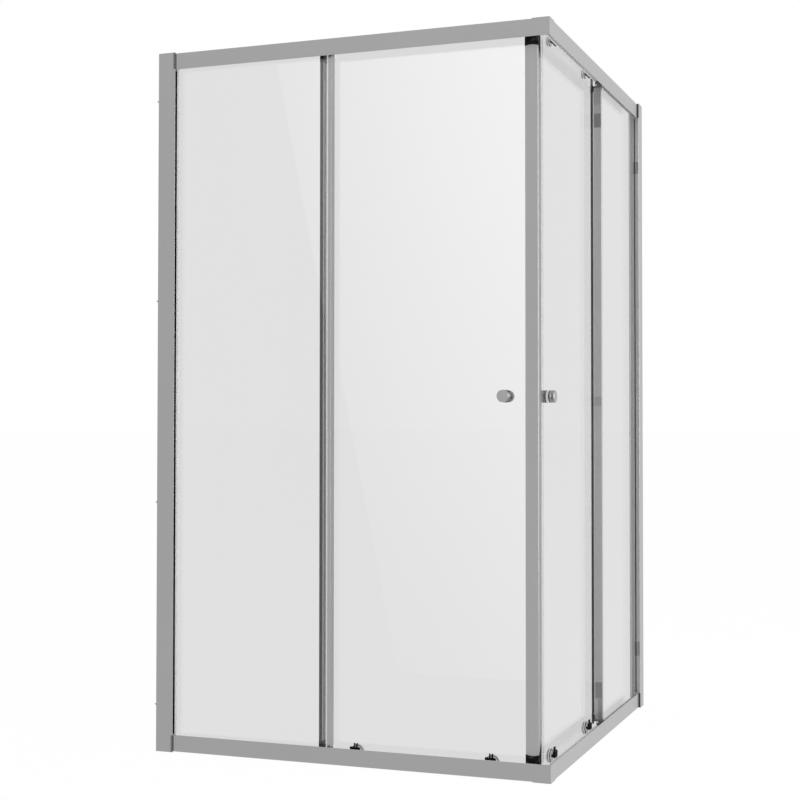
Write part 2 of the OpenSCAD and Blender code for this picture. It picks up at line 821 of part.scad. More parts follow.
// Stud, sleeve and washers that clamp both knobs through the glass
module knob_stud() {
    reach = knob_len - 5;
    color(black_plastic) union() {
        pin(knob_s, knob_z, glass_out - 0.5 - reach, glass_in + 0.5 + reach, 3);
        pin(knob_s, knob_z, glass_out - 0.5, glass_in + 0.5, 5.9);
        difference() {
            pin(knob_s, knob_z, glass_out - 0.5, glass_out, 9.6);
            pin(knob_s, knob_z, glass_out - cut, glass_in, 5.5);
        }
        difference() {
            pin(knob_s, knob_z, glass_in, glass_in + 0.5, 9.6);
            pin(knob_s, knob_z, glass_out, glass_in + cut, 5.5);
        }
    }
}

// Rollers

// Top carrier: a plate on the glass, with the wheel pin and the bolt boss
module top_carrier(s) {
    axle_z = down(axle_drop);
    bolt_z = down(top_bolt_drop);
    difference() {
        union() {
            translate([0, plate_u, 0]) rotate([90, 0, 0]) mirror([0, 0, 1]) linear_extrude(glass_out - plate_u)
                bar([s - top_plate_len / 2, down(top_plate_hi)], [s + top_plate_len / 2, down(top_plate_lo)], 4);
            pin(s, axle_z, pin_tip_u, plate_u + 1, axle_r);
            pin(s, bolt_z, glass_out - 1, glass_in, bolt_hole_r - 0.1);
        }
        pin(s, bolt_z, plate_u + 2, glass_in + cut, bolt_r + 0.1);
    }
}

module top_carriers() {
    color(metal) for (s = [near_s, far_s]) top_carrier(s);
}

// Bottom carrier: a moulded block on the glass that guides the release slide
module bottom_carrier(s) {
    z0 = up(block_lo);
    z1 = up(block_hi);
    bolt_z = up(bottom_bolt_drop);
    play = slide_play;
    difference() {
        union() {
            translate([0, block_u, 0]) rotate([90, 0, 0]) mirror([0, 0, 1]) linear_extrude(glass_out - block_u)
                bar([s - block_w / 2, z0], [s + block_w / 2, z1], 4);
            for (side = [-1, 1])
                block([s + side * (button_w / 2 + play + ear_w / 2) - ear_w / 2, stem_u0 - play, z1 - 2],
                    [s + side * (button_w / 2 + play + ear_w / 2) + ear_w / 2, glass_out, up(ear_hi)]);
            translate([s + block_w / 2 - 1, (block_u + glass_out) / 2, up(block_hi - 3.6)])
                rotate([0, 90, 0]) cylinder(h = 3.4, r = 3);
            pin(s - 9, bolt_z, glass_out - 1, glass_out, 3);
            pin(s, bolt_z, glass_out - 0.4, glass_in, bolt_hole_r - 0.1);
        }
        block([s - stem_w / 2 - play, stem_u0 - play, z0 - cut], [s + stem_w / 2 + play, stem_u1 + play, z1 + cut]);
        pin(s, bolt_z, glass_out - 0.6, glass_in + cut, bolt_r + 0.1);
    }
}

module bottom_carriers() {
    color(black_plastic) for (s = [near_s, far_s]) bottom_carrier(s);
}

// Inner caps with their bolts, one for each carrier: a disc with a domed face
module roller_cap(s, z, r, bolt_u) {
    step = 1.2;
    dome = 4;
    thick = cap_disc_t + cap_dome_t;
    pin(s, z, bolt_u, glass_in + 1, bolt_r);
    turned(s, z, glass_in) difference() {
        union() {
            square([r, cap_disc_t]);
            square([r - step, thick - dome]);
            square([r - step - dome, thick]);
            translate([r - step - dome, thick - dome]) circle(dome);
        }
        translate([r * 0.4, thick + 0.4]) circle(1, $fn = 24);
        translate([-2 * r, -cut]) square([2 * r, thick + 2 * cut]);
    }
}

module roller_caps() {
    color(metal) for (s = [near_s, far_s]) {
        roller_cap(s, down(top_bolt_drop), top_cap_r, plate_u + 2);
        roller_cap(s, up(bottom_bolt_drop), bottom_cap_r, glass_out - slide_play);
    }
}

// Release slide of a bottom roller: button, stem and wheel pin in one piece
module release_slide(s) {
    axle_z = up(axle_drop);
    foot_u0 = track_u + wheel_w / 2 + 0.4;
    color(dark_metal) union() {
        block([s - stem_w / 2, stem_u0, axle_z], [s + stem_w / 2, stem_u1, up(block_hi - 2)]);
        block([s - button_w / 2, stem_u0, up(block_hi - 2.5)], [s + button_w / 2, stem_u1, up(button_hi)]);
        pin(s, axle_z, foot_u0, stem_u1, 4);
        pin(s, axle_z, pin_tip_u, foot_u0 + 1, axle_r);
    }
}

// Grooved wheel on its axle
module wheel(s, z) {
    half = wheel_w / 2;
    bore = axle_r + axle_play;
    run_r = wheel_r - groove_depth;
    color(black_plastic) turned(s, z, track_u) polygon([
        [bore, -half], [wheel_r - 0.4, -half], [wheel_r, -half + 0.3], [wheel_r, -1.35],
        [run_r, -1.15], [run_r, 1.15], [wheel_r, 1.35], [wheel_r, half - 0.3], [wheel_r - 0.4, half],
        [bore, half]]);
}

module top_wheel(s) {
    wheel(s, down(axle_drop));
}

module bottom_wheel(s) {
    wheel(s, up(axle_drop));
}

on_front() wall_channel(front_w);  // front_wall_channel
on_front() jamb(front_w);  // front_jamb
on_front() top_rail(front_w);  // front_top_rail
on_front() bottom_rail(front_w);  // front_bottom_rail
on_front() fixed_glass(front_w);  // front_fixed_glass
on_front() glazing_gasket(front_w);  // front_glazing_gasket
on_front() end_profile();  // front_end_profile
on_front() end_seal();  // front_end_seal
on_front() end_clips();  // front_end_clips
on_side() wall_channel(side_w);  // side_wall_channel
on_side() jamb(side_w);  // side_jamb
on_side() top_rail(side_w);  // side_top_rail
on_side() bottom_rail(side_w);  // side_bottom_rail
on_side() fixed_glass(side_w);  // side_fixed_glass
on_side() glazing_gasket(side_w);  // side_glazing_gasket
on_side() end_profile();  // side_end_profile
on_side() end_seal();  // side_end_seal
on_side() end_clips();  // side_end_clips
top_corner_bracket();
bottom_corner_bracket();
frame_screws();
jamb_screws();
wall_screws();
door_stops();
on_front() door_glass(stile_end - stile_bite);  // front_door_glass
front_closing_stile();
front_door_end_caps();
front_magnet_strip();
on_front() tail_profile();  // front_tail_profile
on_front() tail_seal();  // front_tail_seal
on_front() outer_knob();  // front_outer_knob
on_front() inner_knob();  // front_inner_knob
on_front() knob_stud();  // front_knob_stud
on_front() top_carriers();  // front_top_carriers
on_front() bottom_carriers();  // front_bottom_carriers
on_front() roller_caps();  // front_roller_caps
on_front() top_wheel(near_s);  // front_top_wheel_near
on_front() top_wheel(far_s);  // front_top_wheel_far
on_front() release_slide(near_s);  // front_release_near
on_front() release_slide(far_s);  // front_release_far
on_front() bottom_wheel(near_s);  // front_bottom_wheel_near
on_front() bottom_wheel(far_s);  // front_bottom_wheel_far
on_side() door_glass(side_strip_s + 3);  // side_door_glass
side_door_end_caps();
side_magnet_strip();
on_side() tail_profile();  // side_tail_profile
on_side() tail_seal();  // side_tail_seal
on_side() outer_knob();  // side_outer_knob
on_side() inner_knob();  // side_inner_knob
on_side() knob_stud();  // side_knob_stud
on_side() top_carriers();  // side_top_carriers
on_side() bottom_carriers();  // side_bottom_carriers
on_side() roller_caps();  // side_roller_caps
on_side() top_wheel(near_s);  // side_top_wheel_near
on_side() top_wheel(far_s);  // side_top_wheel_far
on_side() release_slide(near_s);  // side_release_near
on_side() release_slide(far_s);  // side_release_far
on_side() bottom_wheel(near_s);  // side_bottom_wheel_near
on_side() bottom_wheel(far_s);  // side_bottom_wheel_far
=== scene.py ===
# Looks for a corner shower enclosure: two fixed panes and two sliding doors in a satin
# aluminium frame. Objects are in metres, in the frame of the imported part. Places on a side
# are in millimetres: along it from the corner, inwards from its rail face, and up
import math
import bmesh
import bpy
import numpy as np
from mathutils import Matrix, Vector


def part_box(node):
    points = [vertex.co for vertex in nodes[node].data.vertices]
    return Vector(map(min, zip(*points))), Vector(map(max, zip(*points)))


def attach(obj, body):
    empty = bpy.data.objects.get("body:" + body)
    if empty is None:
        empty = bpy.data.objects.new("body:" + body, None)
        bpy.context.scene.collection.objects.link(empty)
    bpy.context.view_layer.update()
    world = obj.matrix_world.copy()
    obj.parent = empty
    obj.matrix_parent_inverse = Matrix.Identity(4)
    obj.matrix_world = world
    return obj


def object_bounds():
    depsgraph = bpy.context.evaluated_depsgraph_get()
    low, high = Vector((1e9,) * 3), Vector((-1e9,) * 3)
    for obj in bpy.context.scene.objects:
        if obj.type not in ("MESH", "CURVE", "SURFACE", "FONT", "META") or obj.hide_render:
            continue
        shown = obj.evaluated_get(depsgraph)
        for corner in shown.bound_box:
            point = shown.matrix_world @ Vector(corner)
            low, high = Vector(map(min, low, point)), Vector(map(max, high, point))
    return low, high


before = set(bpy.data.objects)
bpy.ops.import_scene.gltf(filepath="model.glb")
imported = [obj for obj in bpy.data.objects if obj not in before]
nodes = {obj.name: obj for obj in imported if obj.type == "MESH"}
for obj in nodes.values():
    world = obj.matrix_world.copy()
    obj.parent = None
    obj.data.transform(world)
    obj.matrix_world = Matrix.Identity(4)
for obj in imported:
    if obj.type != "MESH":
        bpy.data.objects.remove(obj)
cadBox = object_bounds()
sides = ("front", "side")
mm = 1000.0     # in a metre
print("frame loaded:", len(nodes), "nodes")

layout = {
    "height": 1900.0,
    "railInset": 1.5,           # the rails lie this far inside both ends of the jambs
    "railEdge": 45.5,           # from the end of a jamb to the inner edge of the rail beside it
    "railLips": (11.3, 45.5),   # depths of the hollow of a rail, from lip to lip
    "railFace": 1.5,            # what is less deep than this is a rail's face
    "railSkin": 1.0,            # and what is nearer than this to its outer side isn't its hollow
    "jambProud": 5.0,           # the jambs stand this far in front of the rail faces
    "jambWide": 51.0,
    "jambLip": 5.5,             # the edge of a jamb that laps over the pane
    "screwReach": 15.0,         # the wall screws stand this far out past the jambs
    "doorPane": (37.0, 43.0),   # depths of the outer and inner face of the door glass
    "rollers": (165.0, 535.0),  # places of the near and far rollers along a closed door
}
jambStart = {}      # where the face of each jamb starts
for k, side in enumerate(sides):
    jambEnd = (cadBox[1][k] - cadBox[0][k]) * mm - layout["jambProud"] - layout["screwReach"]
    jambStart[side] = jambEnd - layout["jambWide"]

# The outer edge of the corner, where both rail faces meet
corner = Vector((cadBox[1][0] - layout["jambProud"] / mm, cadBox[0][1] + layout["jambProud"] / mm, 0.0))


# A socket that takes part in arithmetic: every operator adds one Math node
class Wire:
    def __init__(self, finish, socket):
        self.finish, self.socket = finish, socket

    def maths(self, operation, *values):
        return self.finish.add("ShaderNodeMath", {"operation": operation}, dict(enumerate(values)))

    def __add__(self, other):
        return self.maths("ADD", self, other)

    def __sub__(self, other):
        return self.maths("SUBTRACT", self, other)

    def __mul__(self, other):
        return self.maths("MULTIPLY", self, other)

    def __truediv__(self, other):
        return self.maths("DIVIDE", self, other)

    def __pow__(self, other):
        return self.maths("POWER", self, other)

    def __rsub__(self, other):
        return self.maths("SUBTRACT", other, self)

    def __gt__(self, other):
        return self.maths("GREATER_THAN", self, other)

    def __lt__(self, other):
        return self.maths("LESS_THAN", self, other)

    __radd__ = __add__
    __rmul__ = __mul__

    def smaller(self, other):
        return self.maths("MINIMUM", self, other)

    def larger(self, other):
        return self.maths("MAXIMUM", self, other)

    def heldToOne(self):
        return self.larger(0.0).smaller(1.0)


# One material and its node tree; add() makes any node from its type
class Finish:
    def __init__(self, name, tree=None):
        if tree is None:
            self.material = bpy.data.materials.new(name)
            self.material.use_nodes = True
            tree = self.material.node_tree
        self.tree = tree
        self.tree.nodes.clear()

    def plug(self, socket, value):
        if isinstance(value, Wire):
            self.tree.links.new(value.socket, socket)
        else:
            socket.default_value = value

    def add(self, kind, settings=None, values=None, out=0):
        node = self.tree.nodes.new(kind)
        for name, value in (settings or {}).items():
            setattr(node, name, value)
        for name, value in (values or {}).items():
            self.plug(node.inputs[name], value)
        return Wire(self, node.outputs[out])

    def blend(self, factor, low, high):
        return self.add("ShaderNodeMix", {"data_type": "RGBA"}, {0: factor, 6: low, 7: high}, out=2)

    def place(self):
        return self.add("ShaderNodeTexCoord", out="Object")

    def axes(self):
        node = self.tree.nodes.new("ShaderNodeSeparateXYZ")
        self.tree.links.new(self.place().socket, node.inputs[0])
        return [Wire(self, node.outputs[k]) for k in range(3)]

    # Millimetres along a side from the corner, inwards from its face, and up
    def railPlace(self, side):
        x, y, z = self.axes()
        along, inwards = (corner.x - x, y - corner.y) if side == "front" else (y - corner.y, corner.x - x)
        return along * mm, inwards * mm, z * mm

    def noise(self, scale, detail=2.0):
        scaled = self.add("ShaderNodeMapping", {}, {"Vector": self.place(), "Scale": scale})
        return self.add("ShaderNodeTexNoise", {},
                        {"Vector": scaled, "Scale": 1.0, "Detail": detail, "Roughness": 0.5})

    def bump(self, height, strength, distance):
        return self.add("ShaderNodeBump", {},
                        {"Height": height, "Strength": strength, "Distance": distance})

    def principled(self, values):
        return self.add("ShaderNodeBsdfPrincipled", {}, values)

    def mixShader(self, share, first, second):
        return self.add("ShaderNodeMixShader", {}, {0: share, 1: first, 2: second})

    # 1 where the camera sees a surface straight, mirrored or through glass
    def directlySeen(self):
        seen = self.add("ShaderNodeLightPath", out="Is Camera Ray")
        for ray in ("Is Glossy Ray", "Is Transmission Ray"):
            seen = seen.larger(self.add("ShaderNodeLightPath", out=ray))
        return seen

    def close(self, surface):
        output = self.tree.nodes.new("ShaderNodeOutputMaterial")
        self.tree.links.new(surface.socket, output.inputs["Surface"])
        return self.material


def grey(level):
    return (level, level, level, 1.0)


black, white = grey(0.0), grey(1.0)


def paintNode(name, material):
    mesh = nodes[name].data
    mesh.materials.clear()
    mesh.materials.append(material)


slight = 0.05       # how much a plain tone lightens and darkens over a surface

# Satin aluminium
satin = {
    "level": 0.36,              # base colour, linear
    "paintedSideLevel": 0.43,          # painted lighter: faces towards +X catch more of the studio light
    "streak": 0.03,             # how much the grain lightens and darkens it
    "roughness": 0.36, "roughnessSpread": 0.12,
    "grain": 900.0,             # streaks per metre across the extrusion
    "run": 3.0,                 # streaks per metre along it
    "cloud": 0.3,               # share of wide soft patches in the grain
    "relief": (0.12, 0.00005),  # strength and depth of the grain
}


# A zone paints another tone over a part of an extrusion, mostly painted shade, painted light and painted
# reflections: a mask, its level, how far it is metal, and how much painted light stands for what pale
# surroundings throw on it
def zone(mask, level, metal=1.0, paintedLight=0.0):
    return mask, level, metal, paintedLight


def satinMetal(name, along, zones=(), base=satin["level"]):
    f = Finish(name)
    scale = [satin["grain"]] * 3
    scale[along] = satin["run"]
    streak = f.noise(scale, 3.0)
    cloud = f.noise((satin["run"],) * 3)
    tone = streak * (1.0 - satin["cloud"]) + cloud * satin["cloud"]
    shift = (tone - 0.5) * (2.0 * satin["streak"])
    level, metal, paintedLight = shift + base, 1.0, 0.0
    for mask, zoneLevel, zoneMetal, zonePaintedLight in zones:
        inside = mask(f)
        level = inside * (shift + zoneLevel) + (1.0 - inside) * level
        metal = inside * zoneMetal + (1.0 - inside) * metal
        paintedLight = inside * zonePaintedLight + (1.0 - inside) * paintedLight
    spread = satin["roughnessSpread"]
    values = {"Base Color": f.blend(level, black, white), "Metallic": metal,
              "Roughness": tone * spread + (satin["roughness"] - spread / 2),
              "Normal": f.bump(streak, *satin["relief"])}
    if any(zonePaintedLight for mask, zoneLevel, zoneMetal, zonePaintedLight in zones):
        values["Emission Color"] = f.blend(paintedLight, black, white)
        values["Emission Strength"] = 1.0
    return f.close(f.principled(values))


# Masks of zones. Each is 1 inside the part of a piece that it names, and 0 elsewhere
def between(value, least, most):
    return (value > least) * (value < most)


def deeperThan(side, depth):
    return lambda f: f.railPlace(side)[1] > depth


def shallowerThan(side, depth):
    return lambda f: f.railPlace(side)[1] < depth


# Inside of a rail, between its outer and its inner lip
def railInside(side, top):
    def mask(f):
        along, inwards, high = f.railPlace(side)
        low = layout["railInset"]
        fromOutside = (layout["height"] - low) - high if top else high - low
        return between(inwards, *layout["railLips"]) * (fromOutside > layout["railSkin"])
    return mask


# Face of a rail beside the jamb, which stands proud and shades it: painted light there lifts that shade
def besideJamb(side, reach):
    def mask(f):
        along, inwards, high = f.railPlace(side)
        return (along > jambStart[side] - reach) * (inwards < layout["railFace"])
    return mask


# Part of a jamb beside the rail ends, between two depths, where the joint shades it
def besideRails(side, reach, least, most):
    def mask(f):
        along, inwards, high = f.railPlace(side)
        railLevel = (high < layout["railEdge"]).larger(high > layout["height"] - layout["railEdge"])
        return railLevel * (along < jambStart[side] + reach) * between(inwards, least, most)
    return mask


# Part of a piece between two heights and two depths
def heightBand(side, low, top, least, most):
    def mask(f):
        along, inwards, high = f.railPlace(side)
        return between(high, low, top) * between(inwards, least, most)
    return mask


rail = {
    "base": {"front": satin["level"], "side": satin["paintedSideLevel"]},
    "inside": (0.56, 0.11),     # level and painted light of the hollow, which lies in shade
    "jambReach": {"front": 4.4, "side": 30.0},  # painted light this far from the jamb, against its shade
    "jambPaintedLight": {"front": 0.13, "side": 0.09},
}


# Painted light in the hollow of the rail and on its face beside the jamb, where each lies in shade
def railSatin(side, place):
    level, paintedLight = rail["inside"]
    base = rail["base"][side]
    zones = [zone(railInside(side, place == "top"), level, 0.0, paintedLight),
             zone(besideJamb(side, rail["jambReach"][side]), base, 1.0, rail["jambPaintedLight"][side])]
    return satinMetal(f"{side}RailSatin{place.title()}", sides.index(side), zones, base)


jamb = {
    "faceDeep": -4.3,           # what lies deeper than this is the flank
    # The flank is painted darker on the front and lighter on the side, for how the light falls on each
    "flank": {"front": 0.3, "side": 0.5},
    "jointShades": ((7.0, 0.24), (2.6, 0.06)),  # reach beside the rail ends, and level of the painted shade
    "jointDepths": (-9.0, -4.0),
    "gapReach": 6.0, "gapDeep": 1.0, "gapPaintedShade": 0.02,  # painted shade in the gap where a rail ends in the jamb
    "bands": ((1678.0, 1716.0, 0.31), (161.0, 205.0, 0.33)),    # low, top and level
    "bandsDeep": 17.0,          # down to the pane
}


# Painted shade on the front flank, painted light on the side flank and painted shade beside the rail ends.
# The bands stand for dark reflections, which only the side jamb has
def jambSatin(side):
    flank = jamb["faceDeep"]
    zones = [zone(deeperThan(side, flank), jamb["flank"][side])]
    for reach, level in jamb["jointShades"]:
        zones.append(zone(besideRails(side, reach, *jamb["jointDepths"]), level))
    zones.append(zone(besideRails(side, jamb["gapReach"], flank, jamb["gapDeep"]), jamb["gapPaintedShade"], 0.0))
    if side == "side":
        for low, top, level in jamb["bands"]:
            zones.append(zone(heightBand(side, low, top, flank, jamb["bandsDeep"]), level))
    return satinMetal(side + "JambSatin", 2, zones, rail["base"][side])


endProfile = {
    "flankDeep": 12.2, "flank": 0.48,
    "bands": ((1806.0, 1900.0, 0.36), (1780.0, 1806.0, 0.42), (1740.0, 1780.0, 0.24),
              (939.0, 965.0, 0.38), (105.0, 150.0, 0.29), (0.0, 105.0, 0.37)),
    "returnDeep": 25.0, "returnTop": 103.0, "returnLevel": 0.5,     # foot of its inner edge, painted paler for the light there
    "deepest": 100.0,           # past its inner edge
}


# The flank is painted lighter for the light on it; the bands stand for dark reflections here too
def endSatin(side):
    flank, deepest = endProfile["flankDeep"], endProfile["deepest"]
    zones = [zone(deeperThan(side, flank), endProfile["flank"])]
    if side == "side":
        for low, top, level in endProfile["bands"]:
            zones.append(zone(heightBand(side, low, top, flank, deepest), level))
        foot = heightBand(side, 0.0, endProfile["returnTop"], endProfile["returnDeep"], deepest)
        zones.append(zone(foot, endProfile["returnLevel"]))
    return satinMetal(side + "EndSatin", 2, zones, rail["base"][side])


tail = {"level": 0.75, "edgeDeep": 44.8, "edgeLevel": 0.01}


# Trailing profile of a door: all of it painted pale and matt for the light on it, but for a black inner
# edge
def tailSatin(side):
    return satinMetal(side + "TailSatin", 2, [
        zone(deeperThan(side, 0.0), tail["level"], 0.0),
        zone(deeperThan(side, tail["edgeDeep"]), tail["edgeLevel"], 0.0)])


# Black moulded plastic and rubber
plastic = {
    "unevenness": (0.8, 1.25),  # darkest and lightest share of the colour
    "roughnessSpread": 0.14,
    "relief": (0.15, 0.00008),  # strength and depth of the fine grain
    "patchScale": 60.0, "patchFrom": 0.48, "patchRise": 4.0,
}


# Patches are greyer places a few millimetres wide. Painted light makes a part glow as if lit
def darkPlastic(name, level, roughness, texture, shine=0.5, patches=0.0, paintedLight=0.0):
    f = Finish(name)
    spark = f.noise((texture, texture, texture))
    darkest, lightest = plastic["unevenness"]
    colour = f.blend(spark, grey(level * darkest), grey(level * lightest))
    if patches:
        cloud = f.noise((plastic["patchScale"],) * 3, 1.0)
        share = ((cloud - plastic["patchFrom"]) * plastic["patchRise"]).heldToOne()
        colour = f.blend(share, colour, grey(patches))
    spread = plastic["roughnessSpread"]
    return f.close(f.principled({
        "Base Color": colour, "Roughness": spark * spread + (roughness - spread / 2),
        "Specular IOR Level": shine, "Normal": f.bump(spark, *plastic["relief"]), "Emission Strength": 1.0,
        "Emission Color": f.blend(spark, grey(paintedLight * (1.0 - slight)), grey(paintedLight))}))


# Glazing gasket: a black outer edge, then grey, and at the back, where it lies in shade behind the pane,
# painted pale with painted light
gasket = {
    "texture": 900.0, "roughness": 0.5, "shine": 0.2,
    "blackTo": 12.0, "black": 0.012,    # depth and level
    "paleFrom": {"front": 17.2, "side": 20.5},
    "grey": {"front": 0.5, "side": 0.42},
    "pale": {"front": 0.85, "side": 0.5},
    "paintedLight": {"front": 0.3, "side": 0.19},
}


def gasketRubber(side):
    f = Finish(side + "Gasket")
    inwards = f.railPlace(side)[1]
    spark = f.noise((gasket["texture"],) * 3)
    behind = inwards > gasket["paleFrom"][side]
    level = (1.0 - behind) * gasket["grey"][side] + behind * gasket["pale"][side]
    level = (inwards > gasket["blackTo"]) * level + gasket["black"]
    return f.close(f.principled({
        "Base Color": f.blend(level * (spark * (2.0 * slight) + (1.0 - slight)), black, white),
        "Roughness": spark * plastic["roughnessSpread"] + gasket["roughness"],
        "Specular IOR Level": gasket["shine"], "Normal": f.bump(spark, *plastic["relief"]),
        "Emission Strength": 1.0, "Emission Color": f.blend(behind * gasket["paintedLight"][side], black, white)}))


# Polished and brushed metal, with a faint haze
chrome = {"haze": 120.0, "roughnessSpread": 0.06}


def chromeMetal(name, level, roughness):
    f = Finish(name)
    haze = f.noise((chrome["haze"],) * 3, 3.0)
    colour = f.blend(haze, grey(level * (1.0 - slight)), grey(level * (1.0 + slight)))
    return f.close(f.principled({
        "Base Color": colour, "Metallic": 1.0, "Roughness": haze * chrome["roughnessSpread"] + roughness}))


# Safety glass: each face passes a tint and reflects more towards grazing
glass = {
    "tint": {"front": (0.862, 0.864, 0.862), "side": (0.856, 0.858, 0.856)},    # passed by one face
    "uneven": 0.003,            # how much the tint varies over the pane
    "least": 0.038,             # reflection seen square on
    "edge": 0.3,                # what is added to it towards grazing
    "smear": (2.5, 2.5, 1.2),   # soft patches per metre
    # The mirror image is painted weaker beside a jamb: its side, where it starts, over what length, how
    # much
    "calmed": {"front": False, "side": True}, "calmFrom": 150.0, "calmOver": 50.0, "calm": 0.85,
}


def paneGlass(name, tint, calmSide=None):
    f = Finish(name)
    facing = f.add("ShaderNodeLayerWeight", {}, {"Blend": 0.5}, out="Facing")
    mirror = facing ** 5.0 * glass["edge"] + glass["least"]
    if calmSide:
        along = f.railPlace(calmSide)[0]
        share = ((along - (jambStart[calmSide] - glass["calmFrom"])) / glass["calmOver"]).heldToOne()
        mirror = mirror * (1.0 - share * glass["calm"])
    smear = f.noise(glass["smear"])
    darker, lighter = ([t + turn * glass["uneven"] for t in tint] + [1.0] for turn in (-1.0, 1.0))
    clear = f.add("ShaderNodeBsdfTransparent", {}, {"Color": f.blend(smear, darker, lighter)})
    gloss = f.add("ShaderNodeBsdfGlossy", {}, {"Color": white, "Roughness": 0.0})
    return f.close(f.mixShader(mirror, clear, gloss))


# Half clear strip: a milky plastic with what lies behind it showing through
milky = {
    "texture": 900.0, "level": 0.6, "roughness": 0.35,
    "clear": (0.57, 0.06),      # least share seen through, and what the texture adds to it
    "passes": 0.86,
}


def milkyStrip(name):
    f = Finish(name)
    spark = f.noise((milky["texture"],) * 3)
    colour = f.blend(spark, grey(milky["level"] * (1.0 - slight)), grey(milky["level"]))
    body = f.principled({"Base Color": colour, "Roughness": milky["roughness"]})
    seen = f.add("ShaderNodeBsdfTransparent", {}, {"Color": grey(milky["passes"])})
    least, more = milky["clear"]
    return f.close(f.mixShader(spark * more + least, body, seen))


blackPlastic = darkPlastic("blackPlastic", 0.004, 0.5, 1400.0, 0.12)
# Pale caps and knob washers, with painted light where they sit in shade
capMetalPaintedLight = darkPlastic("paleCapPaintedLight", 0.7, 0.3, 300.0, paintedLight=0.3)
satinChrome = chromeMetal("satinChrome", 0.36, 0.3)
# A darker copy of the knob chrome: painted shade on the inner knob behind the glass
innerKnobPaintedShade = chromeMetal("innerKnobPaintedShade", 0.13, 0.35)
releaseChrome = chromeMetal("polishedChrome", 0.62, 0.06)
screwSteel = chromeMetal("screwSteel", 0.45, 0.3)
# The bracket's part towards +X is painted lighter, for the studio light on it
bracketSatin = satinMetal("bracketSatin", 0, [zone(shallowerThan("side", 0.0), satin["paintedSideLevel"])])

# Nodes that both sides have, by the end of their names
sideLooks = {
    "wall_channel": satinMetal("channelRunZ", 2),
    "end_seal": darkPlastic("paleSeal", 0.6, 0.5, 900.0),
    "end_clips": darkPlastic("greyPlastic", 0.14, 0.45, 1400.0, 0.2),
    "door_end_caps": darkPlastic("capPlastic", 0.004, 0.5, 1400.0, 0.12, 0.055),
    "tail_seal": darkPlastic("sealRubber", 0.06, 0.6, 900.0),
    "outer_knob": satinChrome, "inner_knob": innerKnobPaintedShade, "knob_stud": capMetalPaintedLight,
    "top_carriers": satinChrome, "bottom_carriers": blackPlastic, "roller_caps": capMetalPaintedLight,
}
for place in ("near", "far"):
    sideLooks["top_wheel_" + place] = blackPlastic
    sideLooks["bottom_wheel_" + place] = blackPlastic
    sideLooks["release_" + place] = releaseChrome

for side in sides:
    paneFinish = paneGlass(side + "Glass", glass["tint"][side], side if glass["calmed"][side] else None)
    paintNode(side + "_fixed_glass", paneFinish)
    paintNode(side + "_door_glass", paneFinish)
    for place in ("top", "bottom"):
        paintNode(f"{side}_{place}_rail", railSatin(side, place))
    paintNode(side + "_jamb", jambSatin(side))
    paintNode(side + "_end_profile", endSatin(side))
    paintNode(side + "_tail_profile", tailSatin(side))
    paintNode(side + "_glazing_gasket", gasketRubber(side))
    for ending, material in sideLooks.items():
        paintNode(f"{side}_{ending}", material)
singleLooks = {
    "front_closing_stile": satinMetal("satinRunZ", 2), "front_magnet_strip": milkyStrip("milkySeal"),
    "side_magnet_strip": paneGlass("clearSeal", (0.9, 0.905, 0.9)),
    "top_corner_bracket": bracketSatin, "bottom_corner_bracket": bracketSatin,
    "frame_screws": screwSteel, "jamb_screws": screwSteel,
    "wall_screws": chromeMetal("wallScrewSteel", 0.28, 0.35),
    "door_stops": darkPlastic("stopRubber", 0.05, 0.7, 900.0),
}
for name, material in singleLooks.items():
    paintNode(name, material)
print("finishes set")


# Small trim pieces. A point on a side: s along it from the corner, u inwards, z up
def at(side, s, u, z):
    s, u, z = s / mm, u / mm, z / mm
    return (corner.x - s, corner.y + u, z) if side == "front" else (corner.x - u, corner.y + s, z)


# A direction on a side, one millimetre long for an axis of length one
def heading(side, axis):
    return np.array(at(side, *axis)) - np.array(at(side, 0, 0, 0))


# Faces of a closed tube: quads between its rings, then a fan to the tip at each end
def tubeFaces(rings, around):
    ring = np.arange(around)
    following = (ring + 1) % around
    start = np.arange(rings - 1)[:, None] * around
    above = start + around
    quads = np.stack([start + ring, start + following, above + following, above + ring], -1)
    last = (rings - 1) * around
    low = np.stack([following, ring, np.full(around, rings * around)], -1)
    high = np.stack([last + ring, last + following, np.full(around, rings * around + 1)], -1)
    return quads.reshape(-1, 4).tolist() + low.tolist() + high.tolist()


# A rounded section carried through a row of centres: centre + wide * cos(a)^p + tall * sin(a)^p
# with the signs kept. The first and last centre are its tips
def swept(centres, wide, tall, power=0.5, around=28):
    turn = np.linspace(0.0, 2.0 * math.pi, around, endpoint=False)
    a = np.sign(np.cos(turn)) * np.abs(np.cos(turn)) ** power
    b = np.sign(np.sin(turn)) * np.abs(np.sin(turn)) ** power
    rings = centres[:, None, :] + a[None, :, None] * wide[:, None, :] + b[None, :, None] * tall[:, None, :]
    points = np.concatenate([rings.reshape(-1, 3), centres[:1], centres[-1:]])
    return points, tubeFaces(len(centres), around)


# Joins several surfaces into one piece, turned so that every face points outwards
def makePiece(name, parts, material, body):
    points, faces, start = [], [], 0
    for partPoints, partFaces in parts:
        points.append(partPoints)
        faces += [[i + start for i in face] for face in partFaces]
        start += len(partPoints)
    mesh = bpy.data.meshes.new(name)
    mesh.from_pydata(np.concatenate(points).tolist(), [], faces)
    work = bmesh.new()
    work.from_mesh(mesh)
    bmesh.ops.remove_doubles(work, verts=work.verts, dist=1e-7)
    bmesh.ops.recalc_face_normals(work, faces=work.faces)
    work.to_mesh(mesh)
    work.free()
    mesh.shade_smooth()
    mesh.materials.append(material)
    piece = bpy.data.objects.new(name, mesh)
    bpy.context.collection.objects.link(piece)
    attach(piece, body)


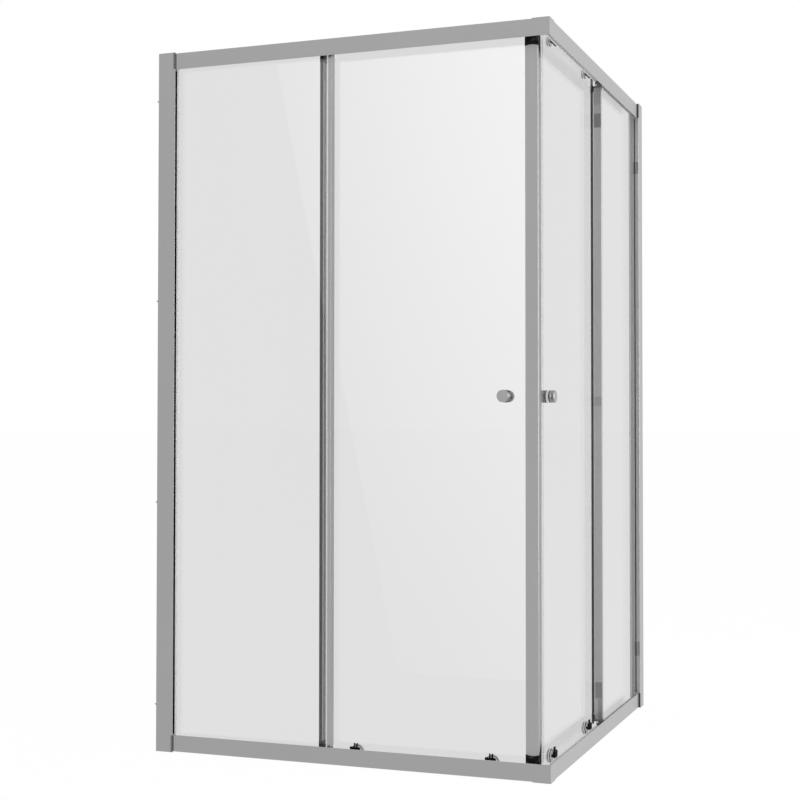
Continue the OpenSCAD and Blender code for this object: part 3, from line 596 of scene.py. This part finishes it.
# A straight bar from start to end. Its section, half as wide and tall as given, grows and
# shrinks over the share ease of the length at both ends, and by taper along the whole of it
def easedBar(side, start, end, halfWide, halfTall, wideAxis, tallAxis, taper=1.0, steps=9, ease=0.06):
    easing, growth = ease * np.array([0.0, 0.15, 0.5]), np.array([0.0, 0.6, 0.88])    # a rounded end
    t = np.concatenate([easing, np.linspace(ease, 1.0 - ease, steps), 1.0 - easing[::-1]])
    size = np.concatenate([growth, np.ones(steps), growth[::-1]]) * (1.0 + (taper - 1.0) * t)
    a, b = np.array(at(side, *start)), np.array(at(side, *end))
    centres = a[None, :] + (b - a)[None, :] * t[:, None]
    wide = heading(side, wideAxis)[None, :] * (halfWide * size)[:, None]
    tall = heading(side, tallAxis)[None, :] * (halfTall * size)[:, None]
    return swept(centres, wide, tall)


# A ring round an axis that runs inwards: with a round it and b round its tube, the radius is
# radius + tube * cos(b) and the depth is u + tube * squash * sin(b)
def ringPart(side, s, u, z, radius, tube, squash=1.0, around=64, section=12):
    a = np.linspace(0.0, 2.0 * math.pi, around, endpoint=False)[:, None]
    b = np.linspace(0.0, 2.0 * math.pi, section, endpoint=False)[None, :]
    out = radius + tube * np.cos(b)
    place = at(side, s + out * np.cos(a), u + tube * squash * np.sin(b), z + out * np.sin(a))
    points = np.stack(np.broadcast_arrays(*place), -1).reshape(-1, 3)
    k, j = np.meshgrid(np.arange(around), np.arange(section), indexing="ij")
    kn, jn = (k + 1) % around, (j + 1) % section
    quads = np.stack([k * section + j, k * section + jn, kn * section + jn, kn * section + j], -1)
    return points, quads.reshape(-1, 4).tolist()


# A ball drawn out along its three axes: the radii shrink with the sine of the polar angle
def ballPart(side, s, u, z, radii, steps=14, around=24):
    t = np.linspace(0.0, math.pi, steps)
    centres = np.stack(np.broadcast_arrays(*at(side, s, u - radii[1] * np.cos(t), z)), -1)
    wide = heading(side, (1, 0, 0))[None, :] * (radii[0] * np.sin(t))[:, None]
    tall = heading(side, (0, 0, 1))[None, :] * (radii[2] * np.sin(t))[:, None]
    return swept(centres, wide, tall, power=1.0, around=around)


# Surface of revolution about an axis that runs inwards: each pair of depth and radius gives
# the ring s + r * cos(a), z + r * sin(a), and the first and last pair are its tips
def turnedPart(side, s, z, profile, around=80):
    a = np.linspace(0.0, 2.0 * math.pi, around, endpoint=False)[None, :]
    u, r = np.array(profile[1:-1]).T[:, :, None]
    rings = np.stack(np.broadcast_arrays(*at(side, s + r * np.cos(a), u, z + r * np.sin(a))), -1)
    tips = np.array([at(side, s, depth, z) for depth in (profile[0][0], profile[-1][0])])
    return np.concatenate([rings.reshape(-1, 3), tips]), tubeFaces(len(profile) - 2, around)


# Black bead beside the pane along each jamb
bead = {
    "wide": 4.2, "tuck": 0.2,       # what shows beside the jamb's edge, and what lies behind it
    "u": {"front": 7.4, "side": 9.2}, "halfDeep": 1.1, "endGap": 47.0,
}
for side in sides:
    s = jambStart[side] + layout["jambLip"] - bead["wide"] / 2
    start = (s, bead["u"][side], bead["endGap"])
    end = (s, bead["u"][side], layout["height"] - bead["endGap"])
    bar = easedBar(side, start, end, bead["wide"] / 2 + bead["tuck"], bead["halfDeep"],
                   (1, 0, 0), (0, 1, 0), steps=40, ease=0.002)
    makePiece(side + "JambBead", [bar], blackPlastic, "frame")

# Painted reflection of the stile caps in the flank of the stile: black tongues that run from the caps
# along the flank and thin out
capReflection = {
    "length": 34.0, "root": (37.9, 42.6), "tip": (38.3, 50.4),     # s and u
    "endGap": 57.0, "halfThick": 0.6, "halfDeep": 8.2, "taper": 0.12,
}
bars = []
for z, turn in ((capReflection["endGap"], 1.0), (layout["height"] - capReflection["endGap"], -1.0)):
    bars.append(easedBar("front", (*capReflection["root"], z), (*capReflection["tip"], z + turn * capReflection["length"]),
                         capReflection["halfThick"], capReflection["halfDeep"], (1, 0, 0), (0, 1, 0),
                         taper=capReflection["taper"], ease=0.04))
makePiece("stileCapReflections", bars, blackPlastic, "front_door")

# At each roller: a black pad under its top plate, dark rims round both edges of its top and
# bottom inner caps, and two nubs on its bottom block
roller = {
    "pad": {"u": 35.4, "z": 1876.2, "halfLong": 25.0, "halfDeep": 2.4, "halfTall": 1.9},
    "rimU": (43.8, 49.0),
    "rims": ((1881.0, 12.0, 0.9), (31.0, 16.8, 1.1)),       # z, radius and thickness
    # place and radii
    "nubs": (((12.5, 33.6, 41.5), (4.2, 3.2, 4.0)), ((2.0, 35.3, 50.6), (3.4, 1.6, 2.6))),
}
for side in sides:
    pad, pads, rims, nubs = roller["pad"], [], [], []
    for s in layout["rollers"]:
        start, end = ((s + turn * pad["halfLong"], pad["u"], pad["z"]) for turn in (-1.0, 1.0))
        pads.append(easedBar(side, start, end, pad["halfDeep"], pad["halfTall"], (0, 1, 0), (0, 0, 1),
                             ease=0.03))
        for u in roller["rimU"]:
            for z, radius, thick in roller["rims"]:
                rims.append(ringPart(side, s, u, z, radius, thick))
        for (ds, u, z), radii in roller["nubs"]:
            nubs.append(ballPart(side, s + ds, u, z, radii))
    for name, parts in (("TopPlatePads", pads), ("CapRims", rims), ("BlockNubs", nubs)):
        makePiece(side + name, parts, blackPlastic, side + "_door")

# Sleeves that fill the waist of each knob, washers against the glass and a dark ring round
# each washer. The inner knob gets an end piece with a rounded rim. All depths are from the pane
knob = {
    "s": 130.0, "z": 956.0,
    "sleeve": (2.9, 6.9), "radius": 15.9, "sleeveEdge": (0.3, 0.6),
    "groove": (5.2, 0.4, 1.2),      # depth, half width and how deep it cuts
    "washer": (0.1, 2.8), "washerRadius": 15.2, "washerEdge": 0.5,
    "ring": (1.5, 1.0, 1.3),        # depth, thickness and how much wider than thick
    "end": (15.5, 16.0), "endRadius": 15.4, "endRim": 3.0,     # start and length
    "endSpigot": (0.2, 1.4),        # a smaller start, by depth and by radius
}


def sleeveOutline():
    near, far = knob["sleeve"]
    r = knob["radius"]
    middle, half, cut = knob["groove"]
    deep, back = knob["sleeveEdge"]
    return [(far, 0.0), (far, r), (middle + half, r), (middle, r - cut), (middle - half, r),
            (near + deep, r), (near, r - back), (near, 0.0)]


def washerOutline():
    near, far = knob["washer"]
    r, edge = knob["washerRadius"], knob["washerEdge"]
    return [(far, 0.0), (far, r - edge), (far - edge, r),
            (near + edge, r), (near, r - edge + 0.1), (near, 0.0)]


# The rim is a quarter round: depth - rim * cos(v) and radius - rim * (1 - sin(v))
def endOutline():
    start, length = knob["end"]
    far, r, rim = start + length, knob["endRadius"], knob["endRim"]
    deep, back = knob["endSpigot"]
    root = [(start - deep, 0.0), (start - deep, r - back), (start + deep / 2, r), (far - rim, r)]
    return root + [(far - rim * math.cos(v), r - rim * (1.0 - math.sin(v)))
                   for v in np.linspace(0.3, 1.5, 8)] + [(far, 0.0)]


for side in sides:
    for name, turn, face, metal in (("Outer", -1.0, layout["doorPane"][0], satinChrome),
                                    ("Inner", 1.0, layout["doorPane"][1], innerKnobPaintedShade)):
        outlines = [[(face + turn * depth, r) for depth, r in outline]
                    for outline in (sleeveOutline(), washerOutline(), endOutline())]
        sleeve, washer, end = (turnedPart(side, knob["s"], knob["z"], outline) for outline in outlines)
        depth, thick, squash = knob["ring"]
        u, radius = face + turn * depth, knob["washerRadius"] - 0.1
        ring = ringPart(side, knob["s"], u, knob["z"], radius, thick, squash)
        body = side + "_door"
        makePiece(f"{side}{name}KnobSleeve", [sleeve, end] if name == "Inner" else [sleeve], metal,
                  body)
        makePiece(f"{side}{name}KnobWasher", [washer], capMetalPaintedLight, body)
        makePiece(f"{side}{name}KnobRing", [ring], blackPlastic, body)

# Black edge strip of the side door's trailing profile, which runs past both ends of the
# fixed end profile
strip = {"u": 46.6, "half": 3.5, "halfThick": 0.7, "low": 24.0, "high": 1893.0, "overlap": 0.5}
s = (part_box("side_tail_profile")[0][1] - corner.y) * mm - strip["overlap"]
bar = easedBar("side", (s, strip["u"], strip["low"]), (s, strip["u"], strip["high"]), strip["half"],
               strip["halfThick"], (0, 1, 0), (1, 0, 0), steps=40, ease=0.003)
makePiece("sideTailStrip", [bar], blackPlastic, "side_door")
print("trim pieces made")


# Camera, from a fit to the straight edges of the photograph
camera = {
    "fromCorner": (0.9577, -3.4733, 0.8752),    # metres from the outer edge of the corner
    "yaw": 19.586, "pitch": 1.291,              # degrees
    "lens": 65.38, "sensor": 36.0,              # mm
    "shift": (-0.0552, -0.0059),
    "clipEnd": 900.0,                           # past the far edge of the floor
}
yaw, pitch = math.radians(camera["yaw"]), math.radians(camera["pitch"])
look = Vector((-math.sin(yaw) * math.cos(pitch), math.cos(yaw) * math.cos(pitch), math.sin(pitch)))
camData = bpy.data.cameras.new("photoCamera")
camData.lens, camData.sensor_width = camera["lens"], camera["sensor"]
camData.shift_x, camData.shift_y = camera["shift"]
camData.clip_end = camera["clipEnd"]
cam = bpy.data.objects.new("photoCamera", camData)
cam.location = corner + Vector(camera["fromCorner"])
cam.rotation_mode = "QUATERNION"
cam.rotation_quaternion = look.to_track_quat("-Z", "Y")
bpy.context.collection.objects.link(cam)
bpy.context.scene.camera = cam


# World, floor and lamps
studio = {
    "ambient": 0.75,        # world light on matt surfaces
    "floorSize": 700.0, "floorTone": 0.9,
    "floorLight": 0.97,     # share of plain white in what the camera sees of the floor
    # place, aim, size and power of each lamp
    "sideSoftbox": ((4.5, -1.0, 1.6), (0.5, 0.0, 0.95), 3.0, 165.0),
    "topSoftbox": ((-0.5, -2.0, 4.5), (0.0, 0.0, 0.8), 2.5, 30.0),
}
world = bpy.data.worlds.new("paleStudio")
bpy.context.scene.world = world
world.use_nodes = True
f = Finish("paleStudio", world.node_tree)
strength = f.directlySeen() * (1.0 - studio["ambient"]) + studio["ambient"]
sky = f.add("ShaderNodeBackground", {}, {"Color": white, "Strength": strength})
worldOut = f.tree.nodes.new("ShaderNodeOutputWorld")
f.tree.links.new(sky.socket, worldOut.inputs["Surface"])


# A flat sheet from its corners, that only the studio uses
def stageSheet(name, corners):
    mesh = bpy.data.meshes.new(name)
    mesh.from_pydata(corners, [], [(0, 1, 2, 3)])
    sheet = bpy.data.objects.new(name, mesh)
    bpy.context.collection.objects.link(sheet)
    return sheet


half = studio["floorSize"] / 2
floor = stageSheet("floor", [(-half, -half, 0), (half, -half, 0), (half, half, 0), (-half, half, 0)])
f = Finish("paleFloor")
matt = f.add("ShaderNodeBsdfDiffuse", {}, {"Color": grey(studio["floorTone"])})
plain = f.add("ShaderNodeEmission", {}, {"Color": white, "Strength": 1.0})
floor.data.materials.append(f.close(f.mixShader(f.directlySeen() * studio["floorLight"], matt, plain)))

for name in ("sideSoftbox", "topSoftbox"):
    place, aim, size, power = studio[name]
    data = bpy.data.lights.new(name, "AREA")
    data.shape, data.size, data.energy = "SQUARE", size, power
    lamp = bpy.data.objects.new(name, data)
    lamp.location = place
    lamp.rotation_mode = "QUATERNION"
    lamp.rotation_quaternion = (Vector(aim) - Vector(place)).to_track_quat("-Z", "Y")
    bpy.context.collection.objects.link(lamp)
bpy.context.scene.view_settings.view_transform = "Standard"

# Soft light panel that only mirror-like surfaces show. Its light falls off from its top
# right towards its edges: (1 - (x / width)^2 - (z / height)^2)^2 from the middle
panel = {
    "distance": 1.3, "bottom": 0.0, "top": 2.22, "right": -0.2,
    "leftFoot": -0.944, "leftTop": -1.411,      # its left edge leans
    "middle": (0.043, 3.082), "spread": (1.944, 4.168), "light": 2.77,
}
lightPanel = stageSheet("lightPanel", [(corner.x + x, corner.y - panel["distance"], z) for x, z in (
    (panel["leftFoot"], panel["bottom"]), (panel["right"], panel["bottom"]),
    (panel["right"], panel["top"]), (panel["leftTop"], panel["top"]))])
f = Finish("softPanel")
x, y, z = f.axes()
across = (x - (corner.x + panel["middle"][0])) / panel["spread"][0]
up = (z - panel["middle"][1]) / panel["spread"][1]
fall = (1.0 - across * across - up * up).larger(0.0)
lit = f.add("ShaderNodeEmission", {}, {"Color": white, "Strength": fall * fall * panel["light"] + 1.0})
unseen = f.add("ShaderNodeBsdfTransparent", {}, {"Color": white})
mirrored = f.add("ShaderNodeLightPath", out="Is Glossy Ray")
mirrored = mirrored * f.add("ShaderNodeLightPath", out="Is Singular Ray")
lightPanel.data.materials.append(f.close(f.mixShader(mirrored, unseen, lit)))
print("camera, floor and lamps set")
